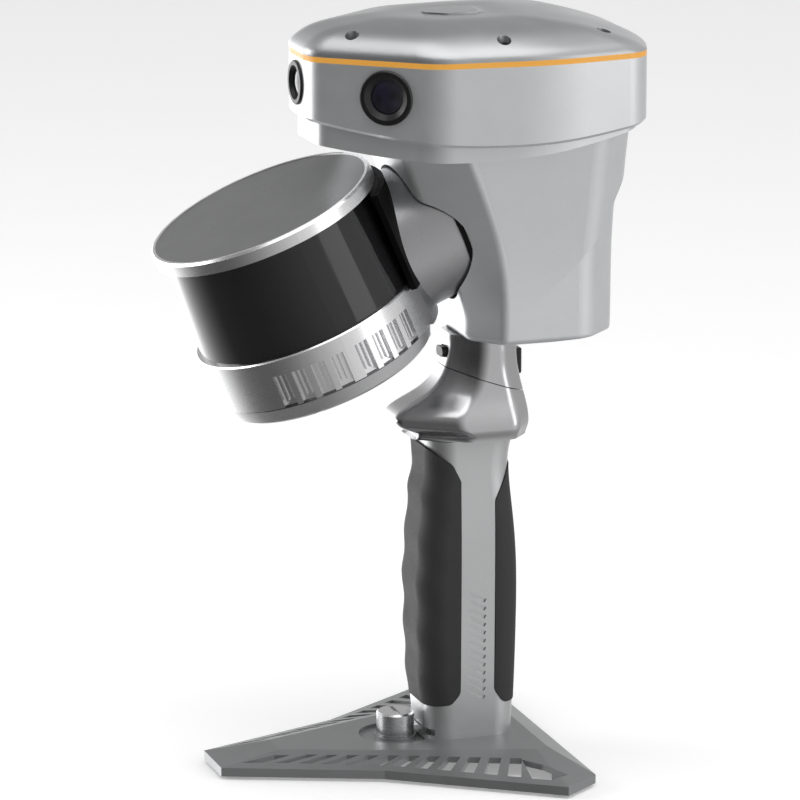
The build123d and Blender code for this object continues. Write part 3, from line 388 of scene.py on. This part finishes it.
def turned_metal(name, tone, roughness, along_lidar=False):
    """Machined metal: fine lathe lines around the axis, worn edges."""
    material, sheet, place, shader = start_material(name, metallic=1.0)
    vector = place
    if along_lidar:
        back = sheet.add("ShaderNodeMapping", vector_type="POINT")
        back.inputs["Rotation"].default_value = (-LIDAR_TILT, 0, 0)
        sheet.link(place, back.inputs["Vector"])
        vector = back.outputs[0]
    stretch = sheet.add("ShaderNodeMapping", vector_type="POINT")
    stretch.inputs["Scale"].default_value = (0.03, 0.03, 1.0)
    sheet.link(vector, stretch.inputs["Vector"])
    lines = sheet.noise(stretch.outputs[0], 5200.0, 3.0, 0.6)
    worn = place_group(sheet, "wear", place, Amount=0.3)
    dusty = place_group(sheet, "dust", place, Amount=0.06)
    base = sheet.mix(lines, shade(tone, 0.93), shade(tone, 1.05))
    base = sheet.mix(worn.outputs["Mask"], base, shade(tone, 1.2))
    base = sheet.mix(dusty.outputs["Dust"], base, DUST)
    sheet.link(base, shader.inputs["Base Color"])
    rough = sheet.spread(lines, 0.3, 0.7, roughness - 0.05, roughness + 0.07)
    rough = sheet.math("ADD", rough, sheet.math("MULTIPLY", dusty.outputs["Marks"], 0.05))
    sheet.link(rough, shader.inputs["Roughness"])
    bump(sheet, shader, lines, 0.06, 0.00004)
    return material


def dark_window(name, tone):
    """The lidar's polished infrared window with faint wipe marks."""
    material, sheet, place, shader = start_material(name, coat=0.2, coat_roughness=0.05, specular=0.4)
    smear = sheet.noise(place, 40.0, 5.0, 0.6)
    specks = sheet.spread(sheet.noise(place, 1500.0, 2.0), 0.70, 0.78)
    base = sheet.mix(specks, tone, shade(tone, 3.0))
    sheet.link(base, shader.inputs["Base Color"])
    sheet.link(sheet.spread(smear, 0.35, 0.7, 0.05, 0.16), shader.inputs["Roughness"])
    return material


def coated_glass(name):
    """A lens front: almost black, with a bluish coating that varies in patches."""
    material, sheet, place, shader = start_material(name, coat=0.5, coat_roughness=0.12, specular=0.5)
    tint = sheet.noise(place, 160.0, 2.0)
    base = sheet.mix(sheet.spread(tint, 0.35, 0.65), (0.006, 0.007, 0.010), (0.020, 0.016, 0.034))
    sheet.link(base, shader.inputs["Base Color"])
    smear = sheet.noise(place, 90.0, 4.0)
    sheet.link(sheet.spread(smear, 0.4, 0.7, 0.12, 0.22), shader.inputs["Roughness"])
    return material


def circuit_board(name):
    """Green solder mask over a square-cornered copper pattern."""
    material, sheet, place, shader = start_material(name, coat=0.4, coat_roughness=0.2)
    tracks = sheet.add("ShaderNodeTexBrick", offset=0.5)
    tracks.inputs["Scale"].default_value = 90.0
    tracks.inputs["Mortar Size"].default_value = 0.06
    tracks.inputs["Color1"].default_value = (0.010, 0.085, 0.035, 1)
    tracks.inputs["Color2"].default_value = (0.012, 0.10, 0.042, 1)
    tracks.inputs["Mortar"].default_value = (0.03, 0.19, 0.08, 1)
    sheet.link(place, tracks.inputs["Vector"])
    mottled = sheet.noise(place, 300.0, 3.0)
    base = sheet.mix(sheet.spread(mottled, 0.55, 0.75, 0.0, 0.4), tracks.outputs["Color"], (0.02, 0.13, 0.05))
    sheet.link(base, shader.inputs["Base Color"])
    sheet.link(sheet.spread(mottled, 0.3, 0.7, 0.32, 0.5), shader.inputs["Roughness"])
    bump(sheet, shader, tracks.outputs["Fac"], 0.2, 0.00003)
    return material


FINISHES = {}


def finish(name):
    """One of the scanner's finishes, made the first time it is asked for."""
    paint = bpy.context.scene.scanner_paint
    makers = {
        "casing paint": lambda: painted_metal("casing paint", paint.body, paint.body_gloss),
        "dome paint": lambda: painted_metal("dome paint", paint.dome, 0.34, metallic=0.8),
        "drum metal": lambda: painted_metal("drum metal", (0.40, 0.40, 0.41), 0.30, metallic=0.9),
        "satin aluminium": lambda: painted_metal(
            "satin aluminium", (0.56, 0.56, 0.57), 0.20, 1.0, 0.2, 3400.0, 0.03
        ),
        "blasted aluminium": lambda: painted_metal(
            "blasted aluminium", (0.60, 0.605, 0.61), 0.34, metallic=0.9
        ),
        "stand paint": lambda: painted_metal("stand paint", paint.stand, 0.42, 0.8, 0.5, 2200.0, 0.06),
        "orange trim": lambda: moulded(
            "orange trim", tuple(paint.accent), 0.35, 2400.0, 0.05, 0.04, 0.3, 0.1
        ),
        "grip rubber": lambda: moulded("grip rubber", tuple(paint.rubber), 0.62, 1500.0, 0.35),
        "pad rubber": lambda: moulded("pad rubber", (0.02, 0.02, 0.021), 0.75, 1100.0, 0.4),
        "guard plastic": lambda: moulded(
            "guard plastic", (0.003, 0.003, 0.003), 0.6, 1900.0, 0.08, specular=0.1
        ),
        "black plastic": lambda: moulded("black plastic", (0.008, 0.008, 0.009), 0.34, 1900.0, 0.08),
        "lidar metal": lambda: turned_metal("lidar metal", (0.84, 0.84, 0.85), 0.24, True),
        "lidar dish": lambda: painted_metal(
            "lidar dish", (0.60, 0.60, 0.61), 0.30, 0.9, 0.3, 3000.0, 0.05
        ),
        "lidar top": lambda: painted_metal("lidar top", paint.lidar_top, 0.30, 0.8, 0.1, 3400.0, 0.03),
        "knob metal": lambda: turned_metal("knob metal", (0.74, 0.74, 0.75), 0.22),
        "plated steel": lambda: turned_metal("plated steel", (0.70, 0.70, 0.72), 0.2),
        "dark steel": lambda: turned_metal("dark steel", (0.10, 0.10, 0.105), 0.34),
        "window": lambda: dark_window("window", tuple(paint.window)),
        "lens coating": lambda: coated_glass("lens coating"),
        "circuit board": lambda: circuit_board("circuit board"),
        "cell wrap": lambda: moulded("cell wrap", (0.05, 0.14, 0.36), 0.35, 900.0, 0.05),
        "inner moulding": lambda: moulded("inner moulding", (0.09, 0.09, 0.095), 0.5),
        "antenna ceramic": lambda: moulded("antenna ceramic", (0.60, 0.55, 0.44), 0.55, 1300.0, 0.3),
        "motor core": lambda: turned_metal("motor core", (0.28, 0.17, 0.10), 0.45),
    }
    if name not in FINISHES:
        FINISHES[name] = makers[name]()
    return FINISHES[name]


def coat_nodes(finishes):
    """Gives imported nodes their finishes."""
    for name, nodes in finishes.items():
        for node in nodes:
            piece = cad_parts[node]
            piece.data.materials.clear()
            piece.data.materials.append(finish(name))


# Operators --------------------


class SCANNER_OT_head(Operator):
    """Finishes the head: antenna dome, accent line, shell and screws"""

    bl_idname = "scanner.head"
    bl_label = "Head"

    def execute(self, context):
        coat_nodes({
            "dome paint": ["antenna_dome"],
            "casing paint": ["head_shell"],
            "orange trim": ["accent_ring"],
            "pad rubber": ["head_gasket"],
            "dark steel": ["dome_screws"],
        })
        return {"FINISHED"}


class SCANNER_OT_cameras(Operator):
    """Finishes the three cameras in the head"""

    bl_idname = "scanner.cameras"
    bl_label = "Cameras"

    def execute(self, context):
        for side in ("front", "left", "right"):
            coat_nodes({
                "black plastic": [f"{side}_camera_bezel", f"{side}_camera_barrel"],
                "lens coating": [f"{side}_camera_lens"],
                "circuit board": [f"{side}_camera_board"],
            })
        return {"FINISHED"}


class SCANNER_OT_casing(Operator):
    """Finishes the casing, the neck and its controls"""

    bl_idname = "scanner.casing"
    bl_label = "Casing and neck"

    def execute(self, context):
        coat_nodes({
            "casing paint": ["body_shell"],
            "satin aluminium": ["hand_guard", "neck_shell"],
            "black plastic": ["power_button", "port_cover"],
        })
        return {"FINISHED"}


class SCANNER_OT_lidar(Operator):
    """Finishes the tilted lidar and its bracket"""

    bl_idname = "scanner.lidar"
    bl_label = "Lidar"

    def execute(self, context):
        coat_nodes({
            "lidar metal": ["lidar_cap", "lidar_base"],
            "lidar dish": ["lidar_bottom"],
            "lidar top": ["lidar_top_plate"],
            "window": ["lidar_window"],
            "guard plastic": ["lidar_shield", "bracket_seal"],
            "drum metal": ["lidar_bracket"],
        })
        return {"FINISHED"}


class SCANNER_OT_handle(Operator):
    """Finishes the handle and its grips"""

    bl_idname = "scanner.handle"
    bl_label = "Handle"

    def execute(self, context):
        coat_nodes({
            "blasted aluminium": ["handle_frame"],
            "grip rubber": ["front_grip", "rear_grip"],
        })
        return {"FINISHED"}


class SCANNER_OT_stand(Operator):
    """Finishes the stand plate, its pads and the lock knob"""

    bl_idname = "scanner.stand"
    bl_label = "Stand plate"

    def execute(self, context):
        coat_nodes({
            "stand paint": ["stand_plate"],
            "pad rubber": ["foot_pads"],
            "knob metal": ["lock_knob"],
            "plated steel": ["knob_circlip", "pole_insert"],
        })
        return {"FINISHED"}


class SCANNER_OT_insides(Operator):
    """Finishes what the casing hides: boards, cells, motor, rotor and screws"""

    bl_idname = "scanner.insides"
    bl_label = "Insides"

    def execute(self, context):
        coat_nodes({
            "circuit board": ["battery_board", "main_board", "lidar_board", "antenna_board"],
            "cell wrap": ["battery_cells"],
            "inner moulding": ["power_switch", "lidar_rotor", "imu_module"],
            "lens coating": ["rotor_lenses"],
            "plated steel": ["usb_socket", "rotor_magnet", "lidar_bearings", "antenna_plane"],
            "dark steel": ["neck_screws", "lidar_screws", "bracket_screws", "board_screws"],
            "motor core": ["motor_stator"],
            "blasted aluminium": ["heat_sink"],
            "antenna ceramic": ["antenna_element"],
        })
        return {"FINISHED"}


class SCANNER_OT_studio(Operator):
    """Sets the pale floor, the soft lights and the camera"""

    bl_idname = "scanner.studio"
    bl_label = "Studio"

    def execute(self, context):
        studio = context.scene.scanner_studio
        low, high = CAD_BOX
        middle = Vector(LOOK_AT)
        self.add_floor(low[2])
        self.add_camera(context, studio, middle)
        side = Vector((math.sin(studio.azimuth), -math.cos(studio.azimuth), 0))
        right = Vector((math.cos(studio.azimuth), math.sin(studio.azimuth), 0))
        up = Vector((0, 0, 1))
        key_place = middle - right * 1.5 - side * 0.2 + up * 0.2
        fill_place = middle + right * 1.5 + side * 0.7 + up * 0.5
        top_place = middle + up * 1.5 + side * 0.3
        self.add_softbox("key softbox", key_place, middle, (0.9, 1.4), studio.key)
        self.add_softbox("fill softbox", fill_place, middle, (0.8, 1.4), studio.fill)
        self.add_softbox("top softbox", top_place, middle, (1.4, 1.4), studio.top)
        self.add_world(context, studio)
        context.scene.view_settings.view_transform = "Standard"
        return {"FINISHED"}

    def add_world(self, context, studio):
        """A white room with brighter and darker patches, so that metal has something to mirror."""
        world = bpy.data.worlds.new("studio white")
        context.scene.world = world
        world.use_nodes = True
        tree = world.node_tree
        tree.nodes.clear()
        sheet = NodeSheet(tree)
        place = sheet.add("ShaderNodeTexCoord").outputs["Generated"]
        tone = studio.room
        for turn, rise, inner, outer, gain in ROOM_PATCHES:
            lean = math.radians(rise)
            across = math.radians(turn)
            aim = (math.sin(across) * math.cos(lean), -math.cos(across) * math.cos(lean), math.sin(lean))
            dot = sheet.add("ShaderNodeVectorMath", operation="DOT_PRODUCT")
            sheet.link(place, dot.inputs[0])
            dot.inputs[1].default_value = aim
            edge = math.cos(math.radians(outer))
            core = math.cos(math.radians(inner))
            patch = sheet.spread(dot.outputs["Value"], edge, core, 1.0, gain)
            tone = sheet.math("MULTIPLY", patch, tone)
        seen = sheet.add("ShaderNodeLightPath").outputs["Is Camera Ray"]
        strength = sheet.math("MAXIMUM", seen, tone)
        room = sheet.add("ShaderNodeBackground")
        sheet.link(strength, room.inputs["Strength"])
        output = sheet.add("ShaderNodeOutputWorld")
        sheet.link(room.outputs[0], output.inputs[0])

    def add_floor(self, height):
        mesh = bpy.data.meshes.new("floor")
        shape = bmesh.new()
        bmesh.ops.create_grid(shape, x_segments=2, y_segments=2, size=FLOOR_HALF)
        bmesh.ops.translate(shape, verts=shape.verts, vec=(0, 0, height))
        shape.to_mesh(mesh)
        shape.free()
        floor = bpy.data.objects.new("floor", mesh)
        bpy.context.scene.collection.objects.link(floor)
        material, sheet, place, shader = start_material("pale floor")
        cloud = sheet.noise(place, 3.0, 3.0)
        sheet.link(sheet.mix(cloud, (0.95, 0.95, 0.95), (0.97, 0.97, 0.97)), shader.inputs["Base Color"])
        shader.inputs["Roughness"].default_value = 0.6
        shader.inputs["Emission Color"].default_value = (1, 1, 1, 1)
        shader.inputs["Emission Strength"].default_value = FLOOR_GLOW
        mesh.materials.append(material)
        floor.visible_glossy = False

    def add_camera(self, context, studio, middle):
        away = Vector((
            math.sin(studio.azimuth) * math.cos(studio.elevation),
            -math.cos(studio.azimuth) * math.cos(studio.elevation),
            math.sin(studio.elevation),
        ))
        lens = bpy.data.cameras.new("camera")
        lens.sensor_width = SENSOR_MM
        lens.lens = LENS_MM
        lens.clip_start = NEAR_CLIP
        lens.clip_end = FAR_CLIP
        camera = bpy.data.objects.new("camera", lens)
        camera.location = middle + away * studio.distance
        camera.rotation_euler = (-away).to_track_quat("-Z", "Y").to_euler()
        context.scene.collection.objects.link(camera)
        context.scene.camera = camera

    def add_softbox(self, name, place, target, size, power):
        light = bpy.data.lights.new(name, "AREA")
        light.shape = "RECTANGLE"
        light.size, light.size_y = size
        light.energy = power
        lamp = bpy.data.objects.new(name, light)
        lamp.location = place
        lamp.rotation_euler = (target - place).to_track_quat("-Z", "Y").to_euler()
        lamp.visible_camera = False
        bpy.context.scene.collection.objects.link(lamp)


PIECES = (
    SCANNER_OT_head,
    SCANNER_OT_cameras,
    SCANNER_OT_casing,
    SCANNER_OT_lidar,
    SCANNER_OT_handle,
    SCANNER_OT_stand,
    SCANNER_OT_insides,
    SCANNER_OT_studio,
)


class SCANNER_PT_panel(Panel):
    """Settings and makers of the laser scanner"""

    bl_label = "Laser scanner"
    bl_idname = "SCANNER_PT_panel"
    bl_space_type = "VIEW_3D"
    bl_region_type = "UI"
    bl_category = "Scanner"

    def draw(self, context):
        layout = self.layout
        for settings in (context.scene.scanner_paint, context.scene.scanner_studio):
            box = layout.box()
            for name in settings.__annotations__:
                box.prop(settings, name)
        column = layout.column(align=True)
        for piece in PIECES:
            column.operator(piece.bl_idname)


CLASSES = (ScannerPaint, ScannerStudio, *PIECES, SCANNER_PT_panel)


def register():
    for item in CLASSES:
        bpy.utils.register_class(item)
    bpy.types.Scene.scanner_paint = PointerProperty(type=ScannerPaint)
    bpy.types.Scene.scanner_studio = PointerProperty(type=ScannerStudio)


def unregister():
    del bpy.types.Scene.scanner_studio
    del bpy.types.Scene.scanner_paint
    for item in reversed(CLASSES):
        bpy.utils.unregister_class(item)


def main():
    register()
    bpy.ops.scanner.head()
    bpy.ops.scanner.cameras()
    bpy.ops.scanner.casing()
    bpy.ops.scanner.lidar()
    bpy.ops.scanner.handle()
    bpy.ops.scanner.stand()
    bpy.ops.scanner.insides()
    bpy.ops.scanner.studio()


if __name__ == "__main__":
    main()
